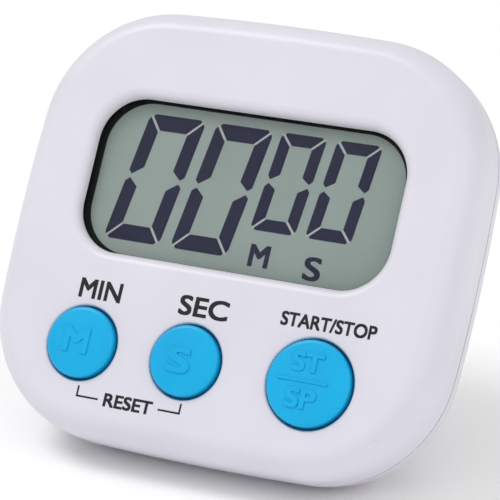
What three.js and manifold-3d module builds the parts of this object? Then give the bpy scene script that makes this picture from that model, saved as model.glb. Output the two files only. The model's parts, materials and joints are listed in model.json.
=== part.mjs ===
// Digital kitchen timer standing on its fold-out stand: two moulded covers, a glass LCD, three
// sprung buttons, a circuit board, a sounder, one AAA cell and the stand that leans it back.
// Every piece is drawn upright: x to the right along the face, y backwards from the face plane,
// z up, with the origin in the middle of the face. The last lines lean the whole timer back
// until its stand and its lower edge both meet the table at z = 0. Sizes are in millimetres.
import * as THREE from "three";
import { mergeVertices } from "three/addons/utils/BufferGeometryUtils.js";
import Module from "manifold-3d";

const wasm = await Module();
wasm.setup();

// Fits
const gap = 0.3; // between pieces that rest on each other
const slideGap = 0.2; // round a piece that moves
const through = 3; // how far a cutting tool runs past what it cuts

// Case
const bodyWidth = 63.5;
const bodyHeight = 58.7;
const bodyDepth = 18;
const cornerRadius = 17.2;
const sideBow = 260; // radius of the slightly bowed left and right sides
const endBow = 390; // radius of the slightly bowed top and bottom
const faceInset = 3.3; // the rounded front edge takes this much off the face all round
const faceRound = 4.85; // and reaches this far back
const backStart = 8; // where the rounded back begins
const backInset = 8;
const seamDepth = 8.5;
const wall = 1.5;
const lipHeight = 1.2;
const lipThickness = 0.9;
const restFlat = 0.15; // flat worn into the lower edge that the timer stands on
const lean = THREE.MathUtils.degToRad(32);

// Window and display
const windowWidth = 43.9;
const windowHeight = 21.1;
const windowCentre = 5.87;
const windowCorner = 6.2;
const windowEdge = 1.3; // the opening's edge is rounded by this much, and the wall limits it
const windowLand = 0.1; // least straight wall left behind that rounded edge
const glassMargin = 1.05; // display glass beyond the window on each side
const glassThickness = 0.7;
const ledgeHeight = 2.2; // strip of the front glass that carries the contacts
const zebraWidth = 1.5;
const zebraInset = 2; // the contact strip stops short of the glass at each end
const padThickness = 0.4;
const padBorder = 1.6;
const padInset = 0.5; // pad in from the glass's sides and top
const padFoot = 0.3; // and up from its bottom edge
const rimThickness = 1; // frame behind the face that holds the display
const rimCorner = 0.6;

// Circuit board
const boardThickness = 0.8;
const boardWidth = 46.4;
const boardTop = 22.8;
const boardBottom = -24.5;
const boardCorner = 8;

// Buttons: small ones set minutes and seconds, the large one starts and stops
const buttonRow = -17.2;
const smallHole = 5.0;
const largeHole = 5.93;
const buttonRise = 0.95;
const buttonEdge = 0.5;
const capGap = 0.35; // round each cap in its hole
const flangeWidth = 0.8;
const flangeThickness = 0.6;
const domeSkin = 0.35;
const domeShoulder = 0.5; // the dome's foot is this much wider than its side
const domeFoot = 0.9;
const pillThickness = 0.4;
const pillShare = 0.4; // contact pill radius as a share of the cap's
const pillGap = 0.1;
const buttons = [
  { name: "minute", x: -16.72, hole: smallHole },
  { name: "second", x: -1.75, hole: smallHole },
  { name: "start", x: 15.59, hole: largeHole },
];

// Battery and its bay: one AAA cell lying across the top of the case
const cellRadius = 5.25;
const cellLength = 44.5;
const nubRadius = 1.9;
const nubLength = 1;
const cellHeight = 13.35; // z of the cell's axis
const cellShift = 0.35; // the spring takes more room than the plate, so the cell sits right
const cellGap = 0.2;
const bayWall = 0.85;
const contactWidth = 8;
const contactThickness = 0.4;
const tailWidth = 2.2;
const springRoom = 2.6;
const springTurns = 3;
const springWire = 0.3;
const springWide = 3.1; // radius of the spring's first turn
const springNarrow = 1.8; // and of its last
const plateRoom = 0.25;
const doorThickness = 1;
const doorWidth = 46.4;
const doorLip = 1.8; // how far the door's edge wraps forwards
const doorLipWidth = 0.95;

// Stand
const standWidth = 30;
const standRail = 3.6;
const standThickness = 2.8;
const hingeHeight = 5;
const hingeRadius = 1.55;
const pinRadius = 0.75;
const pinGap = 0.12;
const pinGrip = 1.6;
const standEnd = -22.6; // where the folded stand's free end lies
const recessGap = 0.4;
const standToeRoom = 0.8; // below the free end, whose slanted foot reaches past standEnd
const heelWidth = 0.7;
const heelReach = 1.85;
const heelShort = 1; // heel stops short of the stand's sides
const standCorner = 1.2;
const nailNotch = { radius: 3.4, back: 1.6, half: 5 }; // scoop that a fingernail goes into

// Magnet and sounder
const magnetRadius = 5.5;
const magnetThickness = 2.8;
const magnetProud = 0.1;
const magnetHeight = -3.2;
const sounderRadius = 10;
const sounderHeight = -10.5;
const brassThickness = 0.3;
const ceramicRadius = 7;
const ceramicThickness = 0.3;
const soundHoleRadius = 0.75;
const soundHoleRing = 2.7;
const soundHoleHeight = -13.4;
const leadRadius = 0.35;
const leadSpread = 3; // leads left and right of the middle
const leadHeight = -19; // where they leave the board
const leadLanding = 2; // how far below its middle they meet the sounder
const leadRise = 1.2; // straight length at each end
const leadSag = 1.2;

// Parts soldered to the back of the board
const chip = { x: -7, z: -3, radius: 4.6, height: 1.4 };
const can = { x: 13, z: -12.5, radius: 2, height: 4.8, edge: 0.3 };
const quartz = { left: 4.5, right: 10.5, z: 3.4, radius: 1, lift: 1.05 };
const amplifier = { x: -15.5, z: -12.5, radius: 2.2, height: 4.2, flat: 1.1 };
const resistance = { x: 13.5, radius: 0.9, waist: 0.7, half: 3.1, lift: 0.95 };

// Screws
const lowerScrews = -21.8; // height of the lower pair; the buttons set how far apart they are
const upperScrews = 3.5; // height of the upper pair
const upperInset = 4.45; // and how far in from the sides they stand
const boardScrews = [
  [-9.2, -22.3],
  [6.3, -22.3],
  [-12, 20.8],
  [12, 20.8],
];
const caseScrew = { head: 2.1, headHeight: 1.3, shank: 0.95, length: 7.2, seat: 11.2 };
const boardScrew = { head: 1.35, headHeight: 0.8, shank: 0.6, length: 3.2 };
const postRadius = 3.1;
const bossRadius = 2.3;
const boardBoss = 1.6;
const pilotGap = 0.15;

// Worked out from the sizes above
const halfWidth = bodyWidth / 2;
const halfHeight = bodyHeight / 2;
const screwReach = Math.max(
  ...buttons.map(({ x, hole }) => {
    const clear = hole + flangeWidth + slideGap + bossRadius;
    return Math.abs(x) + Math.sqrt(clear ** 2 - (buttonRow - lowerScrews) ** 2);
  }),
);
const caseScrews = [
  [-screwReach, lowerScrews],
  [screwReach, lowerScrews],
  [upperInset - halfWidth, upperScrews],
  [halfWidth - upperInset, upperScrews],
];
const glassFront = wall + slideGap;
const glassWidth = windowWidth + 2 * glassMargin;
const glassTop = windowCentre + windowHeight / 2 + glassMargin;
const glassBottom = windowCentre - windowHeight / 2 - glassMargin;
const rearGlassFront = glassFront + glassThickness + slideGap;
const rearGlassBack = rearGlassFront + glassThickness;
const ledgeBottom = glassBottom - ledgeHeight;
const boardFront = rearGlassBack + padThickness + 2 * slideGap;
const boardBack = boardFront + boardThickness;
const capBack = wall + slideGap + flangeThickness;
const doorFront = bodyDepth - doorThickness;
const cellDepth = doorFront - cellRadius - cellGap;
const bayRadius = cellRadius + cellGap;
const bayOuter = bayRadius + bayWall;
const cellRight = cellLength / 2 + cellShift;
const cellLeft = cellRight - cellLength;
const springSeat = cellLeft - springRoom;
const bayLeft = springSeat - contactThickness - slideGap;
const bayRight = cellRight + plateRoom + contactThickness + slideGap;
const doorBottom = cellHeight - bayRadius - gap;
const hingeDepth = bodyDepth - standThickness / 2 - recessGap;
const recessFloor = hingeDepth - hingeRadius - recessGap;
const recessTop = hingeHeight + heelReach + slideGap;
const recessWidth = standWidth + 2 * recessGap;
const islandWidth = standWidth - 2 * standRail - 2 * recessGap;
const islandTop = hingeHeight - hingeRadius - recessGap;
const islandBottom = standEnd + standRail + recessGap;
const blockFront = recessFloor - wall;
const legLength = hingeHeight - standEnd;
// Lowest point of the rounded lower edge once the timer leans, less the rest flat
const backLength = bodyDepth - backStart;
const backShare = (backLength - wall) / backLength;
const floorDrop =
  (halfHeight - backInset) * Math.cos(lean) +
  backStart * Math.sin(lean) +
  Math.hypot(backInset * Math.cos(lean), backLength * Math.sin(lean)) -
  restFlat;
const hingeLift = floorDrop + hingeHeight * Math.cos(lean) - hingeDepth * Math.sin(lean);
const legSlope = Math.acos(Math.min(1, hingeLift / legLength)); // leg from upright, when open
const standAngle = lean + legSlope; // how far the stand swings out

const finishes = {
  shell: { color: 0xdedce8, roughness: 0.45, metalness: 0 },
  button: { color: 0x20a8e0, roughness: 0.35, metalness: 0 },
  glass: { color: 0x96a59b, roughness: 0.15, metalness: 0 },
  foam: { color: 0x3a3a3c, roughness: 0.95, metalness: 0 },
  silicone: { color: 0xb9bcc0, roughness: 0.6, metalness: 0 },
  carbon: { color: 0x18181a, roughness: 0.7, metalness: 0 },
  board: { color: 0x1f6b3a, roughness: 0.5, metalness: 0 },
  epoxy: { color: 0x101012, roughness: 0.3, metalness: 0 },
  steel: { color: 0xc4c6ca, roughness: 0.3, metalness: 1 },
  brass: { color: 0xc9a455, roughness: 0.35, metalness: 1 },
  ceramic: { color: 0xe9e6dc, roughness: 0.6, metalness: 0 },
  ferrite: { color: 0x3b3c40, roughness: 0.6, metalness: 0.2 },
  cell: { color: 0x2f5f9a, roughness: 0.3, metalness: 0.6 },
  resistor: { color: 0xcdb07a, roughness: 0.5, metalness: 0 },
  redWire: { color: 0xb02020, roughness: 0.5, metalness: 0 },
  blackWire: { color: 0x1a1a1a, roughness: 0.5, metalness: 0 },
};

// Solids: a three.js geometry becomes a manifold, and goes back when its piece is finished

function solidOf(geometry) {
  const bare = geometry.index ? geometry.toNonIndexed() : geometry.clone();
  for (const name of Object.keys(bare.attributes)) {
    if (name !== "position") bare.deleteAttribute(name);
  }
  const merged = mergeVertices(bare, 1e-4);
  const vertProperties = new Float32Array(merged.attributes.position.array);
  const triVerts = new Uint32Array(merged.index.array);
  return new wasm.Manifold(new wasm.Mesh({ numProp: 3, vertProperties, triVerts }));
}

function geometryOf(solid) {
  const mesh = solid.getMesh();
  const points = new Float32Array(mesh.numVert * 3);
  for (let i = 0; i < mesh.numVert; i += 1) {
    points.set(mesh.vertProperties.subarray(i * mesh.numProp, i * mesh.numProp + 3), i * 3);
  }
  const geometry = new THREE.BufferGeometry();
  geometry.setAttribute("position", new THREE.BufferAttribute(points, 3));
  geometry.setIndex(new THREE.BufferAttribute(mesh.triVerts, 1));
  geometry.computeVertexNormals();
  return geometry;
}

const join = (...solids) => solids.reduce((a, b) => a.add(b));
const cut = (solid, ...tools) => tools.reduce((a, b) => a.subtract(b), solid);

// Outlines in the face's plane, as lists of points

function arcPoints(x, z, radius, from, to, steps) {
  const points = [];
  for (let i = 0; i < steps; i += 1) {
    const angle = from + ((to - from) * i) / steps;
    points.push(new THREE.Vector2(x + radius * Math.cos(angle), z + radius * Math.sin(angle)));
  }
  return points;
}

function roundedRect(width, bottom, top, radius, steps = 4, x = 0) {
  const quarter = Math.PI / 2;
  const reach = width / 2 - radius;
  const centres = [
    [x + reach, top - radius],
    [x - reach, top - radius],
    [x - reach, bottom + radius],
    [x + reach, bottom + radius],
  ];
  return centres.flatMap(([cx, cz], i) => [
    ...arcPoints(cx, cz, radius, i * quarter, (i + 1) * quarter, steps),
    new THREE.Vector2(
      cx + radius * Math.cos((i + 1) * quarter),
      cz + radius * Math.sin((i + 1) * quarter),
    ),
  ]);
}

// The case outline, moved in by inset: four wide arcs joined by four corner arcs. The corner's
// centre is where two circles round the side and end arcs' centres cross.
function caseOutline(inset = 0, cornerSteps = 8, sideSteps = 4) {
  const side = halfWidth - sideBow;
  const end = halfHeight - endBow;
  const sideReach = sideBow - cornerRadius;
  const endReach = endBow - cornerRadius;
  const apart = Math.hypot(side, end);
  const along = (sideReach ** 2 - endReach ** 2 + apart ** 2) / (2 * apart);
  const off = Math.sqrt(sideReach ** 2 - along ** 2);
  const cornerX = side - (along * side) / apart - (off * end) / apart;
  const cornerZ = (along * end) / apart - (off * side) / apart;
  const sideAngle = Math.atan2(cornerZ, cornerX - side);
  const endAngle = Math.atan2(cornerZ - end, cornerX);
  const points = [];
  for (let turn = 0; turn < 4; turn += 1) {
    const flipX = turn === 1 || turn === 2 ? -1 : 1;
    const flipZ = turn > 1 ? -1 : 1;
    const quarter = [
      ...arcPoints(side, 0, sideBow - inset, 0, sideAngle, sideSteps),
      ...arcPoints(cornerX, cornerZ, cornerRadius - inset, sideAngle, endAngle, cornerSteps),
      ...arcPoints(0, end, endBow - inset, endAngle, Math.PI / 2, sideSteps),
    ].map((p) => new THREE.Vector2(p.x * flipX, p.y * flipZ));
    if (flipX * flipZ < 0) quarter.reverse();
    points.push(...quarter);
  }
  return points.filter((p, i) => p.distanceTo(points[(i + 1) % points.length]) > 1e-4);
}

// An outline as a plate from depth front to depth back, with rounded edges where asked
function plate(points, front, back, round = 0, inset = 0, steps = 5) {
  const geometry = new THREE.ExtrudeGeometry(new THREE.Shape(points), {
    depth: back - front - 2 * round,
    bevelEnabled: round > 0,
    bevelThickness: round,
    bevelSize: inset,
    bevelOffset: -inset,
    bevelSegments: steps,
  });
  return solidOf(geometry.rotateX(Math.PI / 2).translate(0, back - round, 0));
}

function block(x0, x1, y0, y1, z0, z1) {
  const geometry = new THREE.BoxGeometry(x1 - x0, y1 - y0, z1 - z0);
  return solidOf(geometry.translate((x0 + x1) / 2, (y0 + y1) / 2, (z0 + z1) / 2));
}

// A rod along y at (x, z); the profile's first depth is nearest the face
function rod(x, z, radius, front, back, sides = 24) {
  const geometry = new THREE.CylinderGeometry(radius, radius, back - front, sides);
  return solidOf(geometry.translate(x, (front + back) / 2, z));
}

function rodAlongX(y, z, radius, left, right, sides = 32) {
  const geometry = new THREE.CylinderGeometry(radius, radius, right - left, sides);
  return solidOf(geometry.rotateZ(Math.PI / 2).translate((left + right) / 2, y, z));
}

// A turned piece about the y axis through (x, z); profile is [radius, depth] from front to back
function turned(x, z, profile, sides = 24) {
  const points = profile.map(([radius, depth]) => new THREE.Vector2(radius, depth));
  return solidOf(new THREE.LatheGeometry(points, sides).translate(x, 0, z));
}

function wire(extrudePath, radius, steps, sides) {
  const section = new THREE.Shape(arcPoints(0, 0, radius, 0, 2 * Math.PI, sides));
  return solidOf(
    new THREE.ExtrudeGeometry(section, { steps, bevelEnabled: false, extrudePath }),
  );
}

// The case's outer form and its hollow

const frontForm = plate(caseOutline(), 0, 3 * bodyDepth, faceRound, faceInset);
const backForm = plate(caseOutline(), -2 * bodyDepth, bodyDepth, backLength, backInset, 9);
const hollowShare = (faceRound - wall) / faceRound;
const frontHollow = plate(
  caseOutline(wall),
  wall,
  3 * bodyDepth,
  faceRound - wall,
  faceInset * hollowShare,
);
const backHollow = plate(
  caseOutline(wall),
  -2 * bodyDepth,
  bodyDepth - wall,
  backLength - wall,
  backInset * backShare,
  7,
);

const everywhere = 2 * bodyWidth;
const before = (depth) =>
  block(-everywhere, everywhere, -everywhere, depth, -everywhere, everywhere);
const behind = (depth) =>
  block(-everywhere, everywhere, depth, everywhere, -everywhere, everywhere);

// Everything below the table, in the upright frame of the leaning timer
function belowTable() {
  const geometry = new THREE.BoxGeometry(2 * everywhere, 2 * everywhere, everywhere);
  geometry.translate(0, 0, -everywhere / 2 - floorDrop).rotateX(lean);
  return solidOf(geometry);
}

function caseScrewSolid(x, z) {
  const { head, headHeight, shank, length, seat } = caseScrew;
  return screw(x, z, head, headHeight, shank, length, seat + slideGap);
}

// A cross-head screw whose head sits behind its seat and whose shank points to the face
function screw(x, z, head, headHeight, shank, length, seat) {
  const tip = seat - length;
  const solid = turned(
    x,
    z,
    [
      [0, tip],
      [shank * 0.5, tip],
      [shank, tip + shank],
      [shank, seat],
      [head, seat],
      [head, seat + headHeight * 0.6],
      [head * 0.75, seat + headHeight],
      [0, seat + headHeight],
    ],
    12,
  );
  const arm = head * 0.6;
  const slot = head * 0.15;
  const floor = seat + headHeight * 0.5;
  return cut(
    solid,
    block(x - arm, x + arm, floor, seat + through, z - slot, z + slot),
    block(x - slot, x + slot, floor, seat + through, z - arm, z + arm),
  );
}

function frontCover() {
  const bosses = caseScrews.map(([x, z]) => rod(x, z, bossRadius, wall / 2, seamDepth - 1, 16));
  const posts = boardScrews.map(([x, z]) =>
    rod(x, z, boardBoss, wall / 2, boardFront - slideGap, 14),
  );
  const rimOutline = (grow, steps) =>
    roundedRect(
      glassWidth + 2 * gap + 2 * grow,
      ledgeBottom - gap - grow,
      glassTop + gap + grow,
      rimCorner + grow,
      steps,
    );
  const rimInner = rimOutline(0, 2);
  const rimOuter = rimOutline(rimThickness, 3);
  const rim = cut(
    plate(rimOuter, wall / 2, rearGlassBack),
    plate(rimInner, wall / 3, rearGlassBack + through),
  );
  const shell = cut(frontForm.intersect(before(seamDepth - gap / 2)), frontHollow);
  const edge = Math.min(windowEdge, wall - windowLand);
  const opening = plate(windowOutline(0), 0, 2 * bodyDepth, edge, -edge).intersect(before(bodyDepth));
  const window = join(opening, plate(windowOutline(edge), -through, 0));
  const pilots = caseScrews.map(([x, z]) =>
    rod(x, z, caseScrew.shank + pilotGap, wall, seamDepth + through, 12),
  );
  const boardPilots = boardScrews.map(([x, z]) =>
    rod(x, z, boardScrew.shank + pilotGap, wall, boardFront + through, 10),
  );
  const holes = buttons.map(({ x, hole }) => rod(x, buttonRow, hole, -through, wall + through, 40));
  const hollowRim = cut(rim, ...buttons.map(({ x, hole }) => flangeRoom(x, hole)));
  return cut(
    join(shell, hollowRim, ...bosses, ...posts).intersect(frontForm),
    window,
    ...holes,
    ...pilots,
    ...boardPilots,
  );
}

function windowOutline(grow) {
  const half = windowHeight / 2 + grow;
  return roundedRect(
    windowWidth + 2 * grow,
    windowCentre - half,
    windowCentre + half,
    windowCorner + grow,
    8,
  );
}

// The room that a button's flange needs behind the face
function flangeRoom(x, hole) {
  return rod(x, buttonRow, hole + flangeWidth + slideGap, wall, boardFront, 24);
}

// The door's form: a flat slice of the back whose top edge wraps forwards, grown by extra
function doorForm(extra) {
  const half = doorWidth / 2 + extra;
  const column = block(-half, half, 0, everywhere, doorBottom - extra, everywhere);
  const sliceInset = caseInsetAt(doorFront) + doorLipWidth + extra;
  const lipFront = doorFront - doorLip - extra;
  const lip = cut(behind(lipFront), plate(caseOutline(sliceInset), 0, everywhere));
  return column.intersect(join(behind(doorFront - extra), lip));
}

// How far the rounded back has come in at a depth
function caseInsetAt(depth) {
  const share = (depth - backStart) / backLength;
  return backInset * (1 - Math.sqrt(1 - share * share));
}

function batteryBay() {
  const reach = (radius, x0, x1) =>
    join(
      rodAlongX(cellDepth, cellHeight, radius, x0, x1),
      block(x0, x1, cellDepth, bodyDepth + through, cellHeight - radius, cellHeight + radius),
    );
  const outer = reach(bayOuter, bayLeft - 1, bayRight + 1).intersect(before(bodyDepth));
  const inner = reach(bayRadius, cellLeft - cellGap, cellRight + cellGap);
  const pockets = block(
    bayLeft,
    bayRight,
    cellDepth - contactWidth / 2 - slideGap,
    cellDepth + contactWidth / 2 + slideGap,
    cellHeight - contactWidth / 2 - slideGap,
    cellHeight + contactWidth / 2 + slideGap,
  );
  const slots = [bayLeft, bayRight - contactThickness - 2 * slideGap].map((x) =>
    block(
      x,
      x + contactThickness + 2 * slideGap,
      cellDepth - bayOuter - 1,
      cellDepth,
      cellHeight - tailWidth / 2 - slideGap,
      cellHeight + tailWidth / 2 + slideGap,
    ),
  );
  return { outer, inner: join(inner, pockets, ...slots) };
}

function standRecess() {
  const bottom = standEnd - standToeRoom;
  const ring = cut(
    plate(roundedRect(recessWidth, bottom, recessTop, 0.6, 2), recessFloor, bodyDepth + through),
    plate(roundedRect(islandWidth, islandBottom, islandTop, 1, 3), 0, bodyDepth + 2 * through),
  );
  const { radius, back, half } = nailNotch;
  const notch = rodAlongX(bodyDepth + back, bottom, radius, -half, half);
  const pinBore = rodAlongX(
    hingeDepth,
    hingeHeight,
    pinRadius + pinGap,
    -recessWidth / 2 - pinGrip - slideGap,
    recessWidth / 2 + pinGrip + slideGap,
    14,
  );
  const side = recessWidth / 2 + pinGrip + slideGap + 1;
  const backing = block(-side, side, blockFront, bodyDepth, bottom - wall, recessTop + gap);
  return { hollow: join(ring, notch, pinBore), backing };
}

function soundHoles() {
  const spots = [[0, soundHoleHeight]];
  for (let i = 0; i < 6; i += 1) {
    const angle = (i * Math.PI) / 3;
    spots.push([
      soundHoleRing * Math.cos(angle),
      soundHoleHeight + soundHoleRing * Math.sin(angle),
    ]);
  }
  return spots.map(([x, z]) =>
    rod(x, z, soundHoleRadius, blockFront - through, bodyDepth + through, 10),
  );
}

// Where the lip's outline, halfway through its thickness, runs into the back's inner surface
function lipRoot() {
  const share = (slideGap + lipThickness / 2) / (backInset * backShare);
  return backStart + (backLength - wall) * Math.sqrt(1 - (1 - share) ** 2);
}

function rearCover() {
  const shell = cut(backForm.intersect(behind(seamDepth + gap / 2)), backHollow);
  const lip = cut(
    plate(caseOutline(wall + slideGap), seamDepth - lipHeight, lipRoot()),
    plate(caseOutline(wall + slideGap + lipThickness), 0, everywhere),
  );
  const posts = caseScrews.map(([x, z]) =>
    rod(x, z, postRadius, seamDepth + gap / 2, bodyDepth, 18),
  );
  const bay = batteryBay();
  const recess = standRecess();
  const solid = join(shell, ...posts, bay.outer, recess.backing).intersect(backForm);
  const clearances = caseScrews.flatMap(([x, z]) => [
    rod(x, z, caseScrew.shank + pilotGap, 0, bodyDepth, 12),
    rod(x, z, caseScrew.head + slideGap, caseScrew.seat, bodyDepth + through, 18),
  ]);
  const bossRoom = caseScrews.map(([x, z]) => rod(x, z, bossRadius + gap, 0, seamDepth, 16));
  const magnetPocket = rod(
    0,
    magnetHeight,
    magnetRadius + slideGap,
    bodyDepth - magnetThickness - 2 * slideGap,
    bodyDepth + through,
    28,
  );
  return cut(
    join(solid, cut(lip, ...bossRoom)),
    bay.inner,
    recess.hollow,
    magnetPocket,
    ...soundHoles(),
    ...clearances,
    doorForm(slideGap),
    belowTable(),
  );
}

function batteryDoor() {
  return doorForm(0).intersect(backForm);
}

// The stand, drawn hanging folded from its hinge and then swung out
function stand() {
  const half = standWidth / 2;
  const front = hingeDepth - standThickness / 2;
  const back = hingeDepth + standThickness / 2;
  const overrun = standThickness; // beyond the table, trimmed off once the stand is open
  const outline = roundedRect(standWidth, standEnd - overrun, hingeHeight, standCorner, 3);
  const inside = roundedRect(
    standWidth - 2 * standRail,
    standEnd + standRail,
    hingeHeight,
    standCorner,
    3,
  );
  const barrel = rodAlongX(hingeDepth, hingeHeight, hingeRadius, -half, half, 24);
  const bore = rodAlongX(hingeDepth, hingeHeight, pinRadius + pinGap, -everywhere, everywhere, 14);
  const frame = cut(plate(outline, front, back), plate(inside, 0, everywhere));
  const open = swing(join(frame, barrel), standAngle);
  const short = half - heelShort;
  const heelTop = hingeHeight + heelReach;
  const heel = block(-short, short, hingeDepth, hingeDepth + heelWidth, hingeHeight, heelTop);
  const heelTip = rodAlongX(hingeDepth, hingeHeight, heelReach, -short, short);
  return cut(join(open, heel.intersect(heelTip)), bore, belowTable());
}

// Turns a solid about the stand's hinge: a positive angle swings the stand out
function swing(solid, angle) {
  const moved = geometryOf(solid)
    .translate(0, -hingeDepth, -hingeHeight)
    .rotateX(angle)
    .translate(0, hingeDepth, hingeHeight);
  return solidOf(moved);
}

function standPin() {
  const reach = recessWidth / 2 + pinGrip;
  return rodAlongX(hingeDepth, hingeHeight, pinRadius, -reach, reach, 14);
}

function buttonCap(x, hole) {
  const radius = hole - capGap;
  const flange = hole + flangeWidth;
  const edge = [1, 2, 3].map((i) => {
    const angle = (i * Math.PI) / 6;
    return [
      radius - buttonEdge * (1 - Math.sin(angle)),
      buttonEdge * (1 - Math.cos(angle)) - buttonRise,
    ];
  });
  return turned(
    x,
    buttonRow,
    [
      [0, -buttonRise],
      [radius - buttonEdge, -buttonRise],
      ...edge,
      [radius, wall + slideGap],
      [flange, wall + slideGap],
      [flange, capBack],
      [0, capBack],
    ],
    36,
  );
}

// A silicone dome between cap and board, hollow so that its contact pill hangs inside
function dome(x, hole) {
  const top = capBack + slideGap;
  const bottom = boardFront - slideGap;
  const crown = hole * 0.55;
  const skirt = hole * 0.92;
  return turned(
    x,
    buttonRow,
    [
      [0, top],
      [crown, top],
      [skirt - domeShoulder, bottom - domeSkin],
      [skirt, bottom - domeSkin],
      [skirt, bottom],
      [skirt - domeFoot, bottom],
      [crown - 0.1, top + domeSkin],
      [0, top + domeSkin],
    ],
    20,
  );
}

function contactPill(x, hole) {
  const top = capBack + slideGap + domeSkin + pillGap;
  return rod(x, buttonRow, hole * pillShare, top, top + pillThickness, 14);
}

function circuitBoard() {
  const outline = roundedRect(boardWidth, boardBottom, boardTop, boardCorner, 6);
  const notches = caseScrews.map(([x, z]) =>
    rod(x, z, bossRadius + 2 * gap, 0, boardBack + through, 16),
  );
  const holes = boardScrews.map(([x, z]) =>
    rod(x, z, boardScrew.shank + slideGap, 0, boardBack + through, 10),
  );
  return cut(plate(outline, boardFront, boardBack), ...notches, ...holes);
}

function displayPad() {
  const outline = (inset) =>
    roundedRect(
      glassWidth - 2 * padInset - 2 * inset,
      glassBottom + padFoot + inset,
      glassTop - padInset - inset,
      0.8,
      2,
    );
  const outer = outline(0);
  const inner = outline(padBorder);
  const front = rearGlassBack + slideGap;
  return cut(plate(outer, front, front + padThickness), plate(inner, 0, everywhere));
}

function zebraStrip() {
  const middle = (ledgeBottom + glassBottom) / 2;
  const half = glassWidth / 2 - zebraInset;
  return block(
    -half,
    half,
    glassFront + glassThickness + slideGap,
    boardFront - slideGap,
    middle - zebraWidth / 2,
    middle + zebraWidth / 2,
  );
}

function cell() {
  const shoulder = cellLength - nubLength;
  const profile = [
    [0, 0],
    [cellRadius - 0.4, 0],
    [cellRadius, 0.4],
    [cellRadius, shoulder - 0.4],
    [cellRadius - 0.4, shoulder],
    [nubRadius, shoulder],
    [nubRadius, cellLength],
    [0, cellLength],
  ].map(([radius, along]) => new THREE.Vector2(radius, along));
  const geometry = new THREE.LatheGeometry(profile, 28).rotateZ(-Math.PI / 2);
  return solidOf(geometry.translate(cellLeft, cellDepth, cellHeight));
}

// A contact plate at x with a tail that reaches forwards to the board
function contactPlate(x) {
  const half = contactWidth / 2;
  return join(
    block(
      x,
      x + contactThickness,
      cellDepth - half,
      cellDepth + half,
      cellHeight - half,
      cellHeight + half,
    ),
    block(
      x,
      x + contactThickness,
      boardBack + slideGap,
      cellDepth,
      cellHeight - tailWidth / 2,
      cellHeight + tailWidth / 2,
    ),
  );
}

// The conical spring that presses on the flat end of the cell
class Helix extends THREE.Curve {
  getPoint(share, target = new THREE.Vector3()) {
    const angle = share * springTurns * 2 * Math.PI;
    const radius = springWide + (springNarrow - springWide) * share;
    const start = springSeat + springWire + slideGap / 2;
    const end = cellLeft - springWire - slideGap / 2;
    return target.set(
      start + (end - start) * share,
      cellDepth + radius * Math.cos(angle),
      cellHeight + radius * Math.sin(angle),
    );
  }
}

function contactSpring() {
  return wire(new Helix(), springWire, springTurns * 14, 6);
}

// A drop of epoxy over the bare chip
function chipBlob() {
  const seat = boardBack + slideGap;
  const { x, z, radius, height } = chip;
  const drop = [
    [0, 0],
    [1, 0],
    [0.93, 0.43],
    [0.7, 0.79],
    [0.37, 0.96],
    [0, 1],
  ].map(([across, up]) => [radius * across, seat + height * up]);
  return turned(x, z, drop, 20);
}

function capacitor() {
  const seat = boardBack + slideGap;
  const { x, z, radius, height, edge } = can;
  const profile = [
    [0, seat],
    [radius, seat],
    [radius, seat + height - edge],
    [radius - edge, seat + height],
    [0, seat + height],
  ];
  return turned(x, z, profile, 18);
}

function crystal() {
  const { left, right, z, radius, lift } = quartz;
  return rodAlongX(boardBack + slideGap + lift, z, radius, left, right, 14);
}

function transistor() {
  const seat = boardBack + slideGap;
  const { x, z, radius, height, flat } = amplifier;
  const half = radius + 1;
  return cut(
    rod(x, z, radius, seat, seat + height, 16),
    block(x - half, x + half, 0, everywhere, z + flat, z + half),
  );
}

function resistor(z) {
  const { x, radius, waist, half, lift } = resistance;
  const profile = [
    [0, -1],
    [0.83 * radius, -1],
    [radius, -0.74],
    [waist, -0.45],
    [waist, 0.45],
    [radius, 0.74],
    [0.83 * radius, 1],
    [0, 1],
  ].map(([across, along]) => new THREE.Vector2(across, half * along));
  const geometry = new THREE.LatheGeometry(profile, 12).rotateZ(-Math.PI / 2);
  return solidOf(geometry.translate(x, boardBack + slideGap + lift, z));
}

// A lead from the board to the sounder, looping back under its own spring
function sounderLead(x) {
  const start = new THREE.Vector3(x, boardBack + slideGap, leadHeight);
  const end = new THREE.Vector3(x, sounderFront - slideGap, sounderHeight - leadLanding);
  const middle = new THREE.Vector3().lerpVectors(start, end, 0.5);
  const points = [
    start,
    start.clone().add(new THREE.Vector3(0, leadRise, 0)),
    middle.add(new THREE.Vector3(0, 0, -leadSag)),
    end.clone().add(new THREE.Vector3(0, -leadRise, 0)),
    end,
  ];
  return wire(new THREE.CatmullRomCurve3(points, false, "centripetal"), leadRadius, 12, 8);
}

const sounderBack = blockFront - gap;
const sounderFront = sounderBack - brassThickness - slideGap - ceramicThickness;

const timer = new THREE.Group();

function add(name, solid, finish) {
  const mesh = new THREE.Mesh(
    geometryOf(solid),
    new THREE.MeshStandardMaterial(finishes[finish]),
  );
  mesh.name = name;
  timer.add(mesh);
}

add("front_cover", frontCover(), "shell");
add("rear_cover", rearCover(), "shell");
add("battery_door", batteryDoor(), "shell");
add("stand", stand(), "shell");
add("stand_pin", standPin(), "steel");

for (const { name, x, hole } of buttons) {
  add(name + "_button", buttonCap(x, hole), "button");
  add(name + "_dome", dome(x, hole), "silicone");
  add(name + "_contact_pill", contactPill(x, hole), "carbon");
}

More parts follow.
